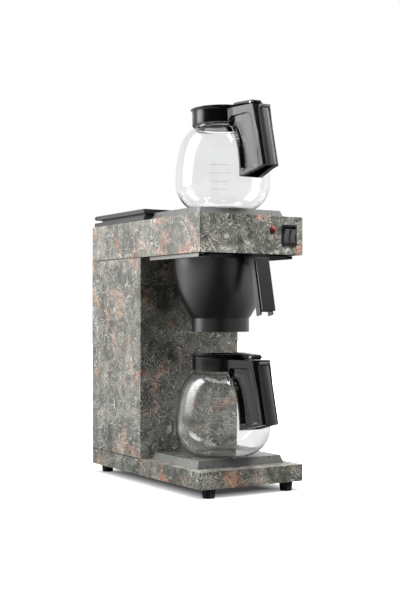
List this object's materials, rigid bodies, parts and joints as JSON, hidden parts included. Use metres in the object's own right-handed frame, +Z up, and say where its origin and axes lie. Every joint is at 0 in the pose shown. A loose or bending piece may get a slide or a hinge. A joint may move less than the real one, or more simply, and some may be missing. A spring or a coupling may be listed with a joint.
{
  "type": "filter coffee brewer",
  "caption": "Tall pour-over filter coffee brewer with a printed sheet housing, heated plates, a slide-out filter basket, a hinged tank lid and glass jugs with hinged lids.",
  "frame": {"origin": "on the surface it stands on, under the middle of its box", "axes": "+X to the machine's right as seen from the front, +Y to the rear, +Z up; the front with basket and jugs faces -Y"},
  "size_m": [0.195, 0.442, 0.6228],
  "materials": {
    "printed_housing": "satin lacquered marble-like print",
    "zinc_sheet": "plain sheet",
    "foot_rubber": "matt moulded rubber",
    "hotplate_enamel": "satin dark grey non-stick coat",
    "cast_aluminium": "as cast",
    "underside_black": "satin black",
    "rail_steel": "brushed",
    "lid_black": "fine moulded grain",
    "bright_steel": "bright",
    "tank_plastic": "natural polypropylene",
    "silicone": "soft silicone",
    "thermostat_body": "moulded phenolic",
    "switch_black": "semi-gloss",
    "lamp_red": "clear red lens",
    "basket_charcoal": "fine matt grain",
    "jug_glass": "clear blown glass",
    "jug_gloss_black": "gloss black",
    "grip_black": "satin moulded"
  },
  "bodies": {
    "chassis": {"base_tray": "printed_housing", "base_bottom_cover": "zinc_sheet", "feet": "foot_rubber", "lower_hotplate": "hotplate_enamel", "lower_plate_heater": "cast_aluminium", "upper_hotplate": "hotplate_enamel", "upper_plate_heater": "cast_aluminium", "column_wrap": "printed_housing", "rear_cover": "printed_housing", "head_wrap": "printed_housing", "head_top_deck": "printed_housing", "head_floor": "underside_black", "left_basket_rail": "rail_steel", "right_basket_rail": "rail_steel", "lid_frame": "lid_black", "lid_hinge_pin": "bright_steel", "water_tank": "tank_plastic", "tank_strainer": "tank_plastic", "tank_outlet_grommet": "silicone", "non_return_valve": "tank_plastic", "flow_heater": "cast_aluminium", "heater_bracket": "zinc_sheet", "feed_hose": "silicone", "riser_pipe": "bright_steel", "spray_head": "tank_plastic", "spray_gasket": "silicone", "safety_thermostat": "thermostat_body", "switch_bezel": "switch_black", "pilot_lamp_lens": "lamp_red", "pilot_lamp_holder": "switch_black", "terminal_block": "tank_plastic", "cord_gland": "switch_black", "wiring_loom": "switch_black", "housing_screws": "bright_steel"},
    "filter_basket": {"filter_basket": "basket_charcoal", "filter_grid": "basket_charcoal", "basket_handle": "basket_charcoal", "basket_grip": "basket_charcoal", "basket_screws": "bright_steel"},
    "lower_jug": {"lower_jug_glass": "jug_glass", "lower_jug_collar": "jug_gloss_black", "lower_jug_seal": "silicone", "lower_jug_grip": "grip_black", "lower_grip_screws": "bright_steel", "lower_lid_pin": "bright_steel"},
    "lower_jug_lid": {"lower_jug_lid": "jug_gloss_black"},
    "upper_jug": {"upper_jug_glass": "jug_glass", "upper_jug_collar": "jug_gloss_black", "upper_jug_seal": "silicone", "upper_jug_grip": "grip_black", "upper_grip_screws": "bright_steel", "upper_lid_pin": "bright_steel"},
    "upper_jug_lid": {"upper_jug_lid": "jug_gloss_black"},
    "tank_lid": {"tank_lid": "lid_black"},
    "left_rocker": {"left_rocker": "switch_black"},
    "right_rocker": {"right_rocker": "switch_black"}
  },
  "joints": [
    {"name": "basket_slide", "type": "slide", "parent": "chassis", "child": "filter_basket", "axis": [0, -1, 0], "range_m": [0, 0.2]},
    {"name": "lower_jug_slide", "type": "slide", "parent": "chassis", "child": "lower_jug", "axis": [0, -1, 0], "range_m": [0, 0.25]},
    {"name": "lower_lid_hinge", "type": "hinge", "parent": "lower_jug", "child": "lower_jug_lid", "pos_m": [0, -0.171, 0.2173], "axis": [1, 0, 0], "range_deg": [0, 10]},
    {"name": "upper_jug_lift", "type": "slide", "parent": "chassis", "child": "upper_jug", "axis": [0, 0, 1], "range_m": [0, 0.2]},
    {"name": "upper_lid_hinge", "type": "hinge", "parent": "upper_jug", "child": "upper_jug_lid", "pos_m": [0, -0.171, 0.6163], "axis": [1, 0, 0], "range_deg": [0, 75]},
    {"name": "tank_lid_hinge", "type": "hinge", "parent": "chassis", "child": "tank_lid", "pos_m": [0, 0.2034, 0.4571], "axis": [-1, 0, 0], "range_deg": [0, 95]},
    {"name": "left_rocker_tilt", "type": "hinge", "parent": "chassis", "child": "left_rocker", "pos_m": [0.0634, -0.158, 0.411], "axis": [-1, 0, 0], "range_deg": [0, 20]},
    {"name": "right_rocker_tilt", "type": "hinge", "parent": "chassis", "child": "right_rocker", "pos_m": [0.0758, -0.158, 0.411], "axis": [-1, 0, 0], "range_deg": [0, 20]}
  ]
}
